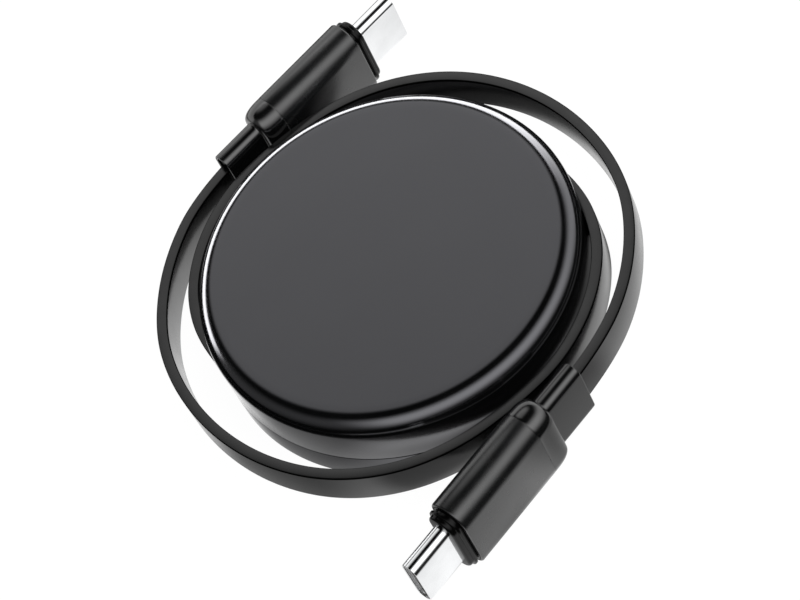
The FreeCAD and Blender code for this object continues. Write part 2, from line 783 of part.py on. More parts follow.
def make_plug(side):
    """Every piece of one plug, drawn about the plug's own origin and then placed on its ribbon."""
    plug = "plug_" + side
    envelope, shell = make_shell(plug)
    upper = make_contacts(plug, "upper", 1)
    lower = make_contacts(plug, "lower", -1)
    latch = make_latch(plug)
    card = make_box(plug + "_card", (-s.shell_root - s.card_length, -s.shell_root),
                    (-(s.card_thickness / 2), s.card_thickness / 2), (-(s.card_height / 2), s.card_height / 2))
    block = make_contact_block(plug, [upper, lower, latch])
    core_bar = inset_bar(plug + "_core_bar", s.sleeve_wall, -s.sleeve_length, as_size(0))
    core = make_core(plug, core_bar, [envelope, card, upper, lower])
    sleeve = make_sleeve(plug, core_bar)
    boot = make_boot(plug)
    pose = plug_pose(side)
    placed = []
    for piece in (shell, block, upper, lower, latch, card, core, sleeve, boot):
        name = piece.Label
        piece.Label = name + "_drawn"
        item = gather(name + "_placed", [piece])
        item.Placement = pose
        item.Label = name
        placed.append(item)
    return placed


nodes = [make_top_cover(), make_bottom_cover(), make_spool(), make_pawl(), make_mainspring()]
nodes.append(make_ring("spring_cover", s.drum_inner_radius - s.spring_cover_gap,
                       s.arbor_radius + s.running_gap, spool_bottom,
                       spool_bottom + s.spring_cover_thickness))
nodes.append(make_ring("wound_ribbon", coil_radius, drum_radius + s.coil_gap,
                       mid - s.ribbon_width / 2, mid + s.ribbon_width / 2))
for side in ("a", "b"):
    nodes.append(make_ribbon(side))
    nodes += make_plug(side)

doc.recompute()
for item in doc.Objects:
    if "Invalid" in item.State or "Error" in item.State:
        raise RuntimeError("%s failed to build" % item.Label)
os.makedirs("parts", exist_ok=True)
for item in nodes:
    if item.Shape.isNull() or not item.Shape.isValid():
        raise RuntimeError("%s has no valid shape" % item.Label)
for item in nodes:
    item.Shape.exportStep("parts/%s.step" % item.Label)
print(len(nodes), "nodes")
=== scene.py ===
import json
import math

import bmesh
import bpy
from mathutils import Matrix, Vector


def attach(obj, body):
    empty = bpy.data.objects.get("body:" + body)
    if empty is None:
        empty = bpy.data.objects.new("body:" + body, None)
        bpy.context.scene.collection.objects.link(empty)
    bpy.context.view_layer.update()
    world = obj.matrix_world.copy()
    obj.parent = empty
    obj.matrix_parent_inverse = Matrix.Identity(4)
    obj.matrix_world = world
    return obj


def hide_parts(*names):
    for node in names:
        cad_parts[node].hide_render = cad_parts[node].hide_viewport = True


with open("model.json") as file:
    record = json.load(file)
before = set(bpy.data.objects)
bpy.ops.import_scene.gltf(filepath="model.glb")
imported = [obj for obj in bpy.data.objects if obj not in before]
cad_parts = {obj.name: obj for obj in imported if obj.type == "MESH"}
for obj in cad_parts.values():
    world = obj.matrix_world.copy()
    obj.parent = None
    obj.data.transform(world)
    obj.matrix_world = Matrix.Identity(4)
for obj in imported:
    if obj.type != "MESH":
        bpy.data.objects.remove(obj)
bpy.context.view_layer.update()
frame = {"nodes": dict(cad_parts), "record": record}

MM = 0.001

# How near counts as the same place, how square a face must be to count as flat, how far a cutter reaches
# past what it cuts, the share of a bar's thickness that rounds its edges, and the merge where rounds meet
SNAP = 1e-6
FACING = 0.999
OVERCUT = 0.3 * MM
HALF_ROUND = 0.499
ROUND_MERGE = 0.02 * MM

# Housing
HOUSING_RADIUS = 25.0 * MM
HOUSING_HEIGHT = 12.4 * MM
SEAM_HEIGHT = 4.65 * MM
COVER_WALL = 1.6 * MM
COVER_PLATE = 1.2 * MM
TOP_EDGE = 2.5 * MM
BOTTOM_EDGE = 0.8 * MM
SEAM_BEVEL = 0.12 * MM
SKIRT = 0.8 * MM
FACE_BORDER = 0.8 * MM
LAP_HEIGHT = 1.0 * MM
LAP_GAP = 0.05 * MM
WINDOW_SLANT = math.radians(104.1)
WINDOW_LENGTH = 16.8 * MM
WINDOW_MIDDLE = 4.9 * MM
WINDOW_WIDTH = 3.25 * MM
WINDOW_DISTANCE = 22.93 * MM
WINDOW_BOTTOM = 3.35 * MM
WINDOW_TOP = 9.05 * MM
RIM_STEPS = 240
EDGE_STEPS = 18
WALL_INNER = HOUSING_RADIUS - COVER_WALL
CEILING = HOUSING_HEIGHT - COVER_PLATE

# Bearings inside the covers: the post that the spool turns on and the pawl's pin
BOSS_RADIUS = 3.58 * MM
BEARING_RADIUS = 2.08 * MM
BOSS_BOTTOM = 10.15 * MM
PIN_RADIUS = 0.9 * MM
PIN_REACH = 12.7 * MM
PIN_ANGLE = math.radians(80)
PIN_STEPS = 48
THRUST_OUTER = 10.2 * MM
THRUST_INNER = 9.3 * MM
THRUST_TOP = 2.4 * MM
ARBOR_RADIUS = 3.0 * MM
ARBOR_TOP = 8.75 * MM
JOURNAL_RADIUS = 2.0 * MM
JOURNAL_TOP = 10.95 * MM
SLIT_WIDTH = 0.9 * MM
SLIT_BOTTOM = 3.1 * MM
SLIT_TOP = 8.8 * MM
SLIT_REACH = 3.3 * MM

# Ribbon and its routes, as (angle in degrees, radius in mm) about the reel's axis
RIBBON_WIDTH = 5.2 * MM
RIBBON_THICKNESS = 1.4 * MM
RIBBON_CORNER = 0.1 * MM
RIBBON_LEVEL = 6.2 * MM
ROUTE = [(214, 21.25), (201, 22.45), (188, 23.6), (175, 24.9), (163, 26.05), (150, 26.8), (134, 27.1),
         (117, 27.25), (100, 27.05), (83, 28.0), (66, 29.0), (49, 29.7), (32, 30.05), (15, 30.35),
         (-2, 30.75), (-18, 31.05), (-37, 30.85)]
ROUTE_END = {"b": [(-55.8, 30.55), (-72.03, 30.36)], "a": [(-56.64, 30.77), (-72.85, 30.03)]}
HALF_TURN = {"b": 0, "a": 180}
RIBBON_FINENESS = 16
COIL_INNER = 11.1 * MM
COIL_OUTER = 19.5 * MM
COIL_TURNS = 6
COIL_STEPS = 32
COIL_FINENESS = 2
COIL_THICKNESS = 1.36 * MM

# Mainspring. Its inner tab stays in the arbor's slit, and the spiral and its hook turn with the drum.
SPRING_INNER = 3.4 * MM
SPRING_OUTER = 8.8 * MM
SPRING_TURNS = 8
SPRING_START = math.radians(-5)
SPRING_THICKNESS = 0.3 * MM
SPRING_WIDTH = 5.3 * MM
SPRING_CORNER = 0.05 * MM
SPRING_LEVEL = 6.05 * MM
TAB_INNER = 2.4 * MM
TAB_OUTER = 3.22 * MM
HOOK_INNER = 8.7 * MM
HOOK_OUTER = 9.8 * MM
HOOK_LAP = 0.05 * MM

# Plug, along +X with its origin at the middle of the sleeve's front edge
PLUG_REACH = 19.8 * MM
SLEEVE_HEIGHT = 12.4 * MM
SLEEVE_THICKNESS = 5.6 * MM
SLEEVE_WALL = 0.8 * MM
SLEEVE_LENGTH = 14.2 * MM
SLEEVE_RIM = 0.3 * MM
JOINT_BEVEL = 0.07 * MM
CAP_STRAIGHT = 0.4 * MM
CAP_ROUND = 2.9 * MM
CAP_FULLNESS = 2.5
CAP_STEPS = 14
NECK_INSET = 1.4 * MM
NECK_HOLLOW = 0.12 * MM
HOLLOW_RUN = 3 * NECK_HOLLOW
HOLLOW_STEPS = 5
TAIL = -23.8 * MM
TAIL_RIM = 0.45 * MM
TAIL_RECESS = 1.2 * MM
TAIL_BEVEL = 0.18 * MM
NOSE_GAP = 0.45 * MM
RING_FRONT = 0.8 * MM
RING_INSET = 0.4 * MM
RING_EDGE = 0.1 * MM
NOSE_FRONT = 1.5 * MM
NOSE_INSET = 0.75 * MM
NOSE_EDGE = 0.4 * MM
SHELL_HEIGHT = 8.25 * MM
SHELL_THICKNESS = 2.4 * MM
SHELL_WALL = 0.2 * MM
SHELL_BEVEL = 0.04 * MM
SHELL_TIP = 7.7 * MM
SHELL_ROOT = -2.5 * MM
BLOCK_FRONT = 7.35 * MM
BLOCK_SLACK = 0.02 * MM
MOUTH_HEIGHT = 6.7 * MM
MOUTH_GAP = 0.84 * MM
MOUTH_DEPTH = 5.0 * MM
POCKET_END = -7.7 * MM
POCKET_THICKNESS = 1.0 * MM
POCKET_HEIGHT = 7.2 * MM


# Camera

CAMERA_PLACE = Vector((-0.989, -223.756, 311.337)) * MM
CAMERA_ELEVATION = math.radians(54.14)
CAMERA_ROLL = math.radians(-29.17)
CAMERA_LENS = 135.0
SENSOR_WIDTH = 36.0
CLIP_START = 10.0 * MM


def make_camera():
    bpy.ops.object.camera_add()
    camera = bpy.context.object
    back = Vector((0, -math.cos(CAMERA_ELEVATION), math.sin(CAMERA_ELEVATION)))
    level = Vector((1, 0, 0))
    rise = Vector((0, math.sin(CAMERA_ELEVATION), math.cos(CAMERA_ELEVATION)))
    right = level * math.cos(CAMERA_ROLL) + rise * math.sin(CAMERA_ROLL)
    up = rise * math.cos(CAMERA_ROLL) - level * math.sin(CAMERA_ROLL)
    turn = Matrix((right, up, back)).transposed()
    camera.matrix_world = Matrix.Translation(CAMERA_PLACE) @ turn.to_4x4()
    camera.data.lens = CAMERA_LENS
    camera.data.sensor_width = SENSOR_WIDTH
    camera.data.clip_start = CLIP_START
    bpy.context.scene.camera = camera


# Modelling helpers

def hold(piece):
    """Make this the one selected object."""
    bpy.ops.object.select_all(action="DESELECT")
    piece.select_set(True)
    bpy.context.view_layer.objects.active = piece


def take(name):
    """Name the object just added and put its place into its mesh."""
    piece = bpy.context.object
    piece.name = name
    piece.data.name = name
    hold(piece)
    bpy.ops.object.transform_apply(location=True, rotation=True, scale=True)
    return piece


def pick(piece, kind, wanted):
    """In edit mode, select only the faces or edges that are wanted."""
    bpy.ops.mesh.select_mode(type=kind)
    bpy.ops.mesh.select_all(action="DESELECT")
    mesh = bmesh.from_edit_mesh(piece.data)
    for item in mesh.faces if kind == "FACE" else mesh.edges:
        if wanted(item):
            item.select_set(True)
    bmesh.update_edit_mesh(piece.data)


def draw_up(x, y, z):
    bpy.ops.mesh.extrude_region_move(TRANSFORM_OT_translate={"value": (x, y, z)})


def rounded(piece, wanted, offset, segments):
    pick(piece, "EDGE", wanted)
    bpy.ops.mesh.bevel(offset=offset, segments=segments, profile=0.5, affect="EDGES")


def rim(radius, level):
    """A test for the edges of the circle at this radius and level."""
    def wanted(edge):
        places = [v.co for v in edge.verts]
        return all(abs(p.z - level) < SNAP and abs(p.xy.length - radius) < SNAP for p in places)
    return wanted


def flat_at(axis, level, sign):
    """A test for flat faces across an axis at this level, facing up or down it."""
    def wanted(face):
        return face.normal[axis] * sign > FACING and abs(face.calc_center_median()[axis] - level) < SNAP
    return wanted


def edges_across(level):
    """A test for the edges that lie across X at this level."""
    def wanted(edge):
        return all(abs(v.co.x - level) < SNAP for v in edge.verts)
    return wanted


def carve(piece, cutters, operation="DIFFERENCE"):
    """Cut the cutters' shapes out of the piece, or join them to it, and remove them."""
    for cutter in cutters:
        hold(piece)
        cut = piece.modifiers.new("cut", "BOOLEAN")
        cut.operation = operation
        cut.solver = "EXACT"
        cut.object = cutter
        bpy.ops.object.modifier_apply(modifier=cut.name)
        bpy.data.objects.remove(cutter)


def smooth(piece, degrees=35):
    hold(piece)
    bpy.ops.object.shade_smooth_by_angle(angle=math.radians(degrees))


def edit(piece):
    hold(piece)
    bpy.ops.object.mode_set(mode="EDIT")


def leave():
    bpy.ops.object.mode_set(mode="OBJECT")


# Ribbon

def route_points(side):
    points = []
    for angle, radius in ROUTE + ROUTE_END[side]:
        turned = math.radians(angle + HALF_TURN[side])
        points.append(Vector((radius * MM * math.cos(turned), radius * MM * math.sin(turned), RIBBON_LEVEL)))
    return points


def coil_points(inner, outer, turns, level, start=0.0):
    """Points of a flat spiral from the inner to the outer radius. Negative turns go clockwise."""
    points = []
    count = abs(turns) * COIL_STEPS
    for i in range(count + 1):
        radius = inner + (outer - inner) * i / count
        turned = start + (2 * math.pi * turns - start) * i / count
        points.append(Vector((radius * math.cos(turned), radius * math.sin(turned), level)))
    return points


def make_section(thickness, width, corner):
    """A flat strip's outline across its run: a rectangle with small round corners."""
    bpy.ops.mesh.primitive_plane_add(size=1)
    section = take("strip_section")
    edit(section)
    bpy.ops.transform.resize(value=(thickness, width, 1))
    bpy.ops.mesh.select_all(action="SELECT")
    bpy.ops.mesh.bevel(offset=corner, segments=5, profile=0.5, affect="VERTICES")
    bpy.ops.mesh.delete(type="ONLY_FACE")
    leave()
    hold(section)
    bpy.ops.object.convert(target="CURVE")
    return bpy.context.object


def sweep_strip(name, points, fineness, thickness, width=RIBBON_WIDTH, corner=RIBBON_CORNER):
    """A flat strip along the smooth line of these points, and the points that the line runs through."""
    line = bpy.data.curves.new(name, "CURVE")
    line.dimensions = "3D"
    line.twist_mode = "Z_UP"
    line.resolution_u = fineness
    spline = line.splines.new("NURBS")
    spline.points.add(len(points) - 1)
    for place, point in zip(spline.points, points):
        place.co = (*point, 1.0)
    spline.order_u = 3
    spline.use_endpoint_u = True
    piece = bpy.data.objects.new(name, line)
    bpy.context.scene.collection.objects.link(piece)
    traced = bpy.data.meshes.new_from_object(piece)
    path = [v.co.copy() for v in traced.vertices]
    bpy.data.meshes.remove(traced)
    section = make_section(thickness, width, corner)
    line.bevel_mode = "OBJECT"
    line.bevel_object = section
    line.use_fill_caps = True
    hold(piece)
    bpy.ops.object.convert(target="MESH")
    piece = bpy.context.object
    bpy.data.objects.remove(section)
    edit(piece)
    bpy.ops.mesh.select_all(action="SELECT")
    bpy.ops.mesh.remove_doubles(threshold=SNAP)
    bpy.ops.mesh.normals_make_consistent(inside=False)
    leave()
    smooth(piece, 60)
    return piece, path


def spring_leaf(name, low, high, near, far):
    """A short straight leaf of the mainspring, along X between two places across it."""
    bpy.ops.mesh.primitive_cube_add(size=1, location=((low + high) / 2, (near + far) / 2, SPRING_LEVEL),
                                    scale=(high - low, far - near, SPRING_WIDTH))
    piece = take(name)
    edit(piece)
    rounded(piece, lambda e: True, SPRING_CORNER / 2, 2)
    leave()
    smooth(piece)
    return piece


def make_mainspring():
    points = coil_points(SPRING_INNER, SPRING_OUTER, SPRING_TURNS, SPRING_LEVEL, SPRING_START)
    piece, _ = sweep_strip("mainspring_spiral", points, COIL_FINENESS, SPRING_THICKNESS, SPRING_WIDTH,
                           SPRING_CORNER)
    carve(piece, [spring_leaf("hook", HOOK_INNER, HOOK_OUTER, -HOOK_LAP, SPRING_THICKNESS)], "UNION")
    smooth(piece)
    return piece


# Housing

def make_windows():
    """Two slanted blocks, along the ribbon, where it passes through the side wall."""
    blocks = []
    for turned in (WINDOW_SLANT, WINDOW_SLANT + math.pi):
        along = Vector((math.cos(turned), math.sin(turned), 0))
        out = Vector((-math.sin(turned), math.cos(turned), 0))
        place = along * WINDOW_MIDDLE + out * WINDOW_DISTANCE
        place.z = (WINDOW_BOTTOM + WINDOW_TOP) / 2
        bpy.ops.mesh.primitive_cube_add(size=1, location=place, rotation=(0, 0, turned),
                                        scale=(WINDOW_LENGTH, WINDOW_WIDTH, WINDOW_TOP - WINDOW_BOTTOM))
        blocks.append(take("window"))
    return blocks


def turn_steps(radius, level, steps):
    """Step the selected round face inwards and up or down, to the (radius, level) of each step."""
    for next_radius, next_level in steps:
        bpy.ops.mesh.inset(thickness=radius - next_radius)
        draw_up(0, 0, next_level - level)
        radius = next_radius
        level = next_level


def make_pin():
    """The pawl's pin, which reaches into the top cover's plate."""
    top = CEILING + COVER_PLATE / 2
    place = (PIN_REACH * math.cos(PIN_ANGLE), PIN_REACH * math.sin(PIN_ANGLE), (BOSS_BOTTOM + top) / 2)
    bpy.ops.mesh.primitive_cylinder_add(vertices=PIN_STEPS, radius=PIN_RADIUS, depth=top - BOSS_BOTTOM,
                                        location=place)
    return take("pawl_pin")


def make_slit():
    """The slit in the arbor for the mainspring's inner end."""
    bpy.ops.mesh.primitive_cube_add(size=1, location=(SLIT_REACH / 2, 0, (SLIT_BOTTOM + SLIT_TOP) / 2),
                                    scale=(SLIT_REACH, SLIT_WIDTH, SLIT_TOP - SLIT_BOTTOM))
    return take("arbor_slit")


def make_top_cover():
    height = HOUSING_HEIGHT - SEAM_HEIGHT
    bpy.ops.mesh.primitive_cylinder_add(vertices=RIM_STEPS, radius=HOUSING_RADIUS, depth=height,
                                        location=(0, 0, SEAM_HEIGHT + height / 2))
    piece = take("cover_top")
    edit(piece)
    rounded(piece, rim(HOUSING_RADIUS, HOUSING_HEIGHT), TOP_EDGE, EDGE_STEPS)
    pick(piece, "FACE", flat_at(2, HOUSING_HEIGHT, 1))
    bpy.ops.mesh.inset(thickness=FACE_BORDER)
    pick(piece, "FACE", flat_at(2, SEAM_HEIGHT, -1))
    bpy.ops.mesh.inset(thickness=SKIRT)
    draw_up(0, 0, LAP_HEIGHT)
    bpy.ops.mesh.inset(thickness=COVER_WALL - SKIRT)
    draw_up(0, 0, CEILING - SEAM_HEIGHT - LAP_HEIGHT)
    turn_steps(WALL_INNER, CEILING, [(BOSS_RADIUS, BOSS_BOTTOM), (BEARING_RADIUS, CEILING)])
    rounded(piece, rim(HOUSING_RADIUS, SEAM_HEIGHT), SEAM_BEVEL, 3)
    leave()
    carve(piece, make_windows())
    carve(piece, [make_pin()], "UNION")
    smooth(piece)
    return piece


def make_bottom_cover():
    bpy.ops.mesh.primitive_cylinder_add(vertices=RIM_STEPS, radius=HOUSING_RADIUS, depth=SEAM_HEIGHT,
                                        location=(0, 0, SEAM_HEIGHT / 2))
    piece = take("cover_bottom")
    edit(piece)
    rounded(piece, rim(HOUSING_RADIUS, 0), BOTTOM_EDGE, EDGE_STEPS // 2)
    pick(piece, "FACE", flat_at(2, 0, -1))
    bpy.ops.mesh.inset(thickness=FACE_BORDER)
    pick(piece, "FACE", flat_at(2, SEAM_HEIGHT, 1))
    bpy.ops.mesh.inset(thickness=SKIRT + LAP_GAP)
    draw_up(0, 0, LAP_HEIGHT - LAP_GAP)
    bpy.ops.mesh.inset(thickness=COVER_WALL - SKIRT - LAP_GAP)
    draw_up(0, 0, COVER_PLATE - SEAM_HEIGHT - LAP_HEIGHT + LAP_GAP)
    turn_steps(WALL_INNER, COVER_PLATE, [(THRUST_OUTER, THRUST_TOP), (THRUST_INNER, COVER_PLATE),
                                         (ARBOR_RADIUS, ARBOR_TOP), (JOURNAL_RADIUS, JOURNAL_TOP)])
    rounded(piece, rim(HOUSING_RADIUS, SEAM_HEIGHT), SEAM_BEVEL, 3)
    leave()
    carve(piece, make_windows() + [make_slit()])
    smooth(piece)
    return piece


# Plug

def stadium_bar(name, start, end, thickness, height, segments=20):
    """A bar along X whose section has half-round ends."""
    bpy.ops.mesh.primitive_cube_add(size=1, location=((start + end) / 2, 0, 0),
                                    scale=(end - start, thickness, height))
    piece = take(name)
    edit(piece)
    rounded(piece, lambda e: abs(e.verts[0].co.x - e.verts[1].co.x) > SNAP, thickness * HALF_ROUND, segments)
    bpy.ops.mesh.select_all(action="SELECT")
    bpy.ops.mesh.remove_doubles(threshold=ROUND_MERGE)
    leave()
    return piece


def inset_bar(name, start, end, inset):
    """A bar whose outline runs at an even distance inside the sleeve's."""
    return stadium_bar(name, start, end, SLEEVE_THICKNESS - 2 * inset, SLEEVE_HEIGHT - 2 * inset)


def hollow(piece, start, end, wall):
    """Open a bar from end to end, leaving a wall."""
    for level, sign in ((start, -1), (end, 1)):
        pick(piece, "FACE", flat_at(0, level, sign))
        bpy.ops.mesh.inset(thickness=wall)
    pick(piece, "FACE", lambda f: len(f.verts) > 4)
    bpy.ops.mesh.bridge_edge_loops()


def make_sleeve():
    piece = inset_bar("sleeve", -SLEEVE_LENGTH, 0, 0)
    edit(piece)
    hollow(piece, -SLEEVE_LENGTH, 0, SLEEVE_WALL)
    rounded(piece, edges_across(0), SLEEVE_RIM, 4)
    rounded(piece, edges_across(-SLEEVE_LENGTH), JOINT_BEVEL, 2)
    leave()
    smooth(piece)
    return piece


def make_boot():
    """A round-shouldered cap that runs into a slim neck through a small hollow curve."""
    front = -SLEEVE_LENGTH
    shoulder = front - CAP_STRAIGHT
    piece = inset_bar("boot", shoulder, front, 0)
    power = 2 / CAP_FULLNESS
    profile = [(0.0, 0.0)]
    for i in range(1, CAP_STEPS + 1):
        angle = math.radians(90) * i / CAP_STEPS
        drop = 1 - max(math.cos(angle), 0) ** power
        profile.append((CAP_ROUND * math.sin(angle) ** power, (NECK_INSET - NECK_HOLLOW) * drop))
    for i in range(1, HOLLOW_STEPS + 1):
        angle = math.radians(90) * i / HOLLOW_STEPS
        profile.append((CAP_ROUND + HOLLOW_RUN * (1 - math.cos(angle)),
                        NECK_INSET - NECK_HOLLOW * (1 - math.sin(angle))))
    edit(piece)
    rounded(piece, edges_across(front), JOINT_BEVEL, 2)
    pick(piece, "FACE", flat_at(0, shoulder, -1))
    for (x, inset), (next_x, next_inset) in zip(profile, profile[1:]):
        bpy.ops.mesh.inset(thickness=next_inset - inset)
        bpy.ops.transform.translate(value=(x - next_x, 0, 0))
    draw_up(TAIL - shoulder + profile[-1][0], 0, 0)
    bpy.ops.mesh.inset(thickness=TAIL_RIM)
    draw_up(TAIL_RECESS, 0, 0)
    rounded(piece, edges_across(TAIL), TAIL_BEVEL, 4)
    leave()
    smooth(piece, 50)
    return piece


def make_core():
    """The core inside the sleeve, with a ring and a smaller front that stand proud of it."""
    piece = inset_bar("core", NOSE_GAP, RING_FRONT, RING_INSET)
    edit(piece)
    pick(piece, "FACE", flat_at(0, NOSE_GAP, -1))
    bpy.ops.mesh.inset(thickness=SLEEVE_WALL - RING_INSET)
    draw_up(-SLEEVE_LENGTH - NOSE_GAP, 0, 0)
    pick(piece, "FACE", flat_at(0, RING_FRONT, 1))
    bpy.ops.mesh.inset(thickness=NOSE_INSET - RING_INSET)
    draw_up(NOSE_FRONT - RING_FRONT, 0, 0)
    rounded(piece, edges_across(NOSE_FRONT), NOSE_EDGE, 5)
    rounded(piece, edges_across(RING_FRONT), RING_EDGE, 3)
    leave()
    slot = stadium_bar("shell_slot", SHELL_ROOT, NOSE_FRONT + OVERCUT, SHELL_THICKNESS, SHELL_HEIGHT)
    pocket_length = SHELL_ROOT - POCKET_END + OVERCUT
    bpy.ops.mesh.primitive_cube_add(size=1, location=((POCKET_END + SHELL_ROOT) / 2, 0, 0),
                                    scale=(pocket_length, POCKET_THICKNESS, POCKET_HEIGHT))
    carve(piece, [slot, take("card_pocket")])
    smooth(piece)
    return piece


def make_shell():
    piece = stadium_bar("shell", SHELL_ROOT, SHELL_TIP, SHELL_THICKNESS, SHELL_HEIGHT)
    edit(piece)
    hollow(piece, SHELL_ROOT, SHELL_TIP, SHELL_WALL)
    rounded(piece, edges_across(SHELL_TIP), SHELL_BEVEL, 1)
    leave()
    smooth(piece)
    return piece


def make_block():
    """The block that lines the shell, with the mouth that a socket's tongue fills."""
    inset = 2 * (SHELL_WALL + BLOCK_SLACK)
    piece = stadium_bar("block", SHELL_ROOT, BLOCK_FRONT, SHELL_THICKNESS - inset, SHELL_HEIGHT - inset)
    middle = BLOCK_FRONT - MOUTH_DEPTH / 2 + OVERCUT / 2
    bpy.ops.mesh.primitive_cube_add(size=1, location=(middle, 0, 0),
                                    scale=(MOUTH_DEPTH + OVERCUT, MOUTH_GAP, MOUTH_HEIGHT))
    carve(piece, [take("mouth")])
    smooth(piece)
    return piece


def plug_pose(side):
    """The plug sits in line with the ribbon's last run."""
    points = route_points(side)
    heading = (points[-1] - points[-2]).normalized()
    turn = Matrix.Rotation(math.atan2(heading.y, heading.x), 4, "Z")
    return Matrix.Translation(points[-1] + heading * PLUG_REACH) @ turn


def place_copy(drawn, side, part):
    """A copy of a plug piece with its own mesh, set on its ribbon."""
    piece = drawn.copy()
    piece.data = drawn.data.copy()
    piece.name = "plug_%s_%s_skin" % (side, part)
    piece.data.name = piece.name
    bpy.context.scene.collection.objects.link(piece)
    piece.matrix_world = plug_pose(side)
    hold(piece)
    bpy.ops.object.transform_apply(location=True, rotation=True, scale=True)
    return piece


# Finishes

class Wire:
    """A node's output that can be used in sums."""

    def __init__(self, finish, node, output):
        self.finish = finish
        self.node = node
        self.socket = node.outputs[output]

    def out(self, output):
        """Another output of the same node."""
        return Wire(self.finish, self.node, output)

    def join(self, operation, first, second):
        return self.finish.add("ShaderNodeMath", {"operation": operation}, {0: first, 1: second})

    def __add__(self, other):
        return self.join("ADD", self, other)

    def __radd__(self, other):
        return self.join("ADD", other, self)

    def __sub__(self, other):
        return self.join("SUBTRACT", self, other)

    def __rsub__(self, other):
        return self.join("SUBTRACT", other, self)

    def __mul__(self, other):
        return self.join("MULTIPLY", self, other)

    def __rmul__(self, other):
        return self.join("MULTIPLY", other, self)

    def __truediv__(self, other):
        return self.join("DIVIDE", self, other)


class Finish:
    """The nodes of a material or of the world."""

    def __init__(self, owner):
        owner.use_nodes = True
        self.tree = owner.node_tree
        self.tree.nodes.clear()

    def add(self, kind, settings=None, sockets=None):
        node = self.tree.nodes.new(kind)
        for name, value in (settings or {}).items():
            setattr(node, name, value)
        for name, value in (sockets or {}).items():
            if isinstance(value, Wire):
                self.tree.links.new(value.socket, node.inputs[name])
            else:
                node.inputs[name].default_value = value
        return Wire(self, node, 0) if node.outputs else None

    def step(self, value, low, high, start=0.0, end=1.0):
        """A smooth step from start to end while the value goes from low to high."""
        span = {"Value": value, "From Min": low, "From Max": high, "To Min": start, "To Max": end}
        return self.add("ShaderNodeMapRange", {"interpolation_type": "SMOOTHSTEP"}, span)

    def blend(self, share, first, second):
        colours = {"Factor": share, 6: first, 7: second}
        return self.add("ShaderNodeMix", {"data_type": "RGBA"}, colours).out(2)

    def noise(self, scale, detail=2.0):
        place = self.add("ShaderNodeTexCoord").out("Object")
        return self.add("ShaderNodeTexNoise", {}, {"Vector": place, "Scale": scale, "Detail": detail})


NOISE_SPAN = (0.3, 0.7)
SHADE_DETAIL = 3.0
GLOSS_DETAIL = 4.0
# Painted shade: a thin band near the ribbon's top edge is painted flat black, a dark line with no
# reflection. Its blend, its level and its band of heights follow.
DARK_BAND_BLEND = 0.04 * MM
DARK_BAND_LEVEL = 0.001
RIBBON_PAINTED_DARK_BAND = (8.45 * MM, 8.77 * MM)


def grey(level, tint=0.0):
    """A neutral colour, a little cooler with tint."""
    return (level * (1 - tint), level, level * (1 + tint), 1.0)


def make_finish(name, shades, gloss, grain=None, painted_dark_band=None, **sockets):
    """A material whose colour and roughness drift, with an optional fine grain on its surface.

    shades is (first colour, second colour, scale), gloss is (low, high, scale) of the roughness and
    grain is (scale, height). The band argument is (bottom, top) of a band of levels painted flat black:
    painted shade that shows a dark line and no reflection.
    """
    material = bpy.data.materials.new(name)
    finish = Finish(material)
    first, second, scale = shades
    drift = finish.step(finish.noise(scale, SHADE_DETAIL), *NOISE_SPAN)
    low, high, patch = gloss
    values = {"Base Color": finish.blend(drift, first, second),
              "Roughness": finish.step(finish.noise(patch, GLOSS_DETAIL), *NOISE_SPAN, low, high)}
    if grain:
        pebble, height = grain
        relief = {"Height": finish.noise(pebble), "Distance": height}
        values["Normal"] = finish.add("ShaderNodeBump", {}, relief)
    for socket, value in sockets.items():
        values[socket.replace("_", " ")] = value
    shader = finish.add("ShaderNodeBsdfPrincipled", {}, values)
    # Painted shade: inside the band of levels the surface is swapped for flat black with no reflection.
    if painted_dark_band:
        bottom, top = painted_dark_band
        place = finish.add("ShaderNodeTexCoord").out("Object")
        level = finish.add("ShaderNodeSeparateXYZ", {}, {0: place}).out("Z")
        above = finish.step(level, bottom - DARK_BAND_BLEND, bottom)
        below = finish.step(level, top, top + DARK_BAND_BLEND, 1.0, 0.0)
        painted_dark = finish.add("ShaderNodeBsdfDiffuse", {}, {"Color": grey(DARK_BAND_LEVEL)})
        shader = finish.add("ShaderNodeMixShader", {}, {0: above * below, 1: shader, 2: painted_dark})
    finish.add("ShaderNodeOutputMaterial", {}, {"Surface": shader})
    return material


